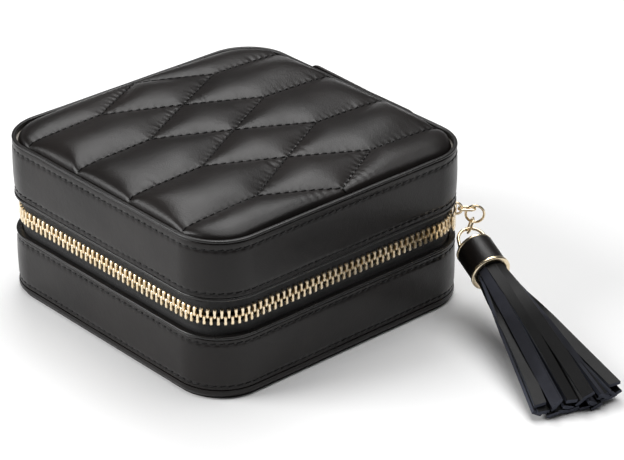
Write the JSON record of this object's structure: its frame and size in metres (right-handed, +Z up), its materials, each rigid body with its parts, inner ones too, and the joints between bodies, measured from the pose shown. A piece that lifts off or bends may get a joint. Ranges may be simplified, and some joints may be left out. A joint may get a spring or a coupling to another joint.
{
  "type": "leather jewellery case",
  "caption": "Square zip-around leather jewellery case with rounded corners, a quilted padded lid, a metal zip and a leather tassel on the pull.",
  "frame": {"origin": "centre of the underside of the case, on the surface that it stands on", "axes": "+Z up; -Y towards the front; +Y towards the hinge side; +X towards the right-hand side with the tassel"},
  "size_m": [0.1852, 0.1103, 0.0575],
  "materials": {
    "leather": "smooth black nappa, satin",
    "painted_edge": "black edge paint, glossy",
    "board": "stiff grey board, matte",
    "suede": "dark grey suede cloth, matte",
    "ring_pad": "dark grey suede cloth over foam, matte",
    "zip_tape": "woven black zip tape, matte",
    "zip_metal": "pale gold, polished",
    "mirror": "silvered glass"
  },
  "bodies": {
    "base": {"base_bottom_cover": "leather", "base_foot_welt": "painted_edge", "base_floor_board": "board", "base_wall_board": "board", "base_leather_band": "leather", "base_edge_binding": "painted_edge", "base_lining_wall": "suede", "base_lining_floor": "suede", "long_divider": "suede", "cross_divider": "suede", "ring_roll_a": "ring_pad", "ring_roll_b": "ring_pad", "ring_roll_c": "ring_pad", "ring_roll_d": "ring_pad", "lower_zip_tape": "zip_tape", "lower_zip_teeth": "zip_metal", "lower_zip_stops": "zip_metal", "hinge_panel_lower": "leather"},
    "lid": {"lid_wall_board": "board", "lid_top_board": "board", "lid_leather_band": "leather", "lid_lip_binding": "painted_edge", "lid_edge_binding": "painted_edge", "lid_quilted_pad": "leather", "lid_lining_wall": "suede", "lid_lining_top": "suede", "mirror_glass": "mirror", "mirror_frame": "leather", "upper_zip_tape": "zip_tape", "upper_zip_teeth": "zip_metal", "upper_zip_stops": "zip_metal", "hinge_panel_upper": "leather"},
    "slider": {"zip_slider": "zip_metal"},
    "link": {"pull_link": "zip_metal"},
    "large_ring_body": {"large_ring": "zip_metal"},
    "small_ring_body": {"small_ring": "zip_metal"},
    "tassel": {"tassel_bail": "zip_metal", "tassel_top_disc": "zip_metal", "tassel_cap": "leather", "tassel_collar": "zip_metal", "tassel_core": "leather", "tassel_strips": "leather"}
  },
  "joints": [
    {"name": "lid_hinge", "type": "hinge", "parent": "base", "child": "lid", "pos_m": [0, 0.0554, 0.02735], "axis": [-1, 0, 0], "range_deg": [0, 150], "deforming": ["upper_zip_tape", "upper_zip_teeth"]},
    {"name": "slider_run", "type": "hinge", "parent": "base", "child": "slider", "pos_m": [0.038, 0.038, 0.02735], "axis": [0, 0, 1], "range_deg": [-25, 10]},
    {"name": "link_swing", "type": "hinge", "parent": "slider", "child": "link", "pos_m": [0.05076, 0.05076, 0.03035], "axis": [0, 0, 1], "range_deg": [-10, 30]},
    {"name": "large_ring_swing", "type": "hinge", "parent": "link", "child": "large_ring_body", "pos_m": [0.05366, 0.05366, 0.03035], "axis": [0.7071, -0.7071, 0], "range_deg": [-5, 45]},
    {"name": "small_ring_swing", "type": "hinge", "parent": "large_ring_body", "child": "small_ring_body", "pos_m": [0.05296, 0.05296, 0.02583], "axis": [0.6645, 0.6645, -0.342], "range_deg": [-25, 15]},
    {"name": "tassel_swing", "type": "hinge", "parent": "small_ring_body", "child": "tassel", "pos_m": [0.05387, 0.05124, 0.02425], "axis": [-0.5446, -0.8387, 0], "range_deg": [-20, 75]}
  ]
}
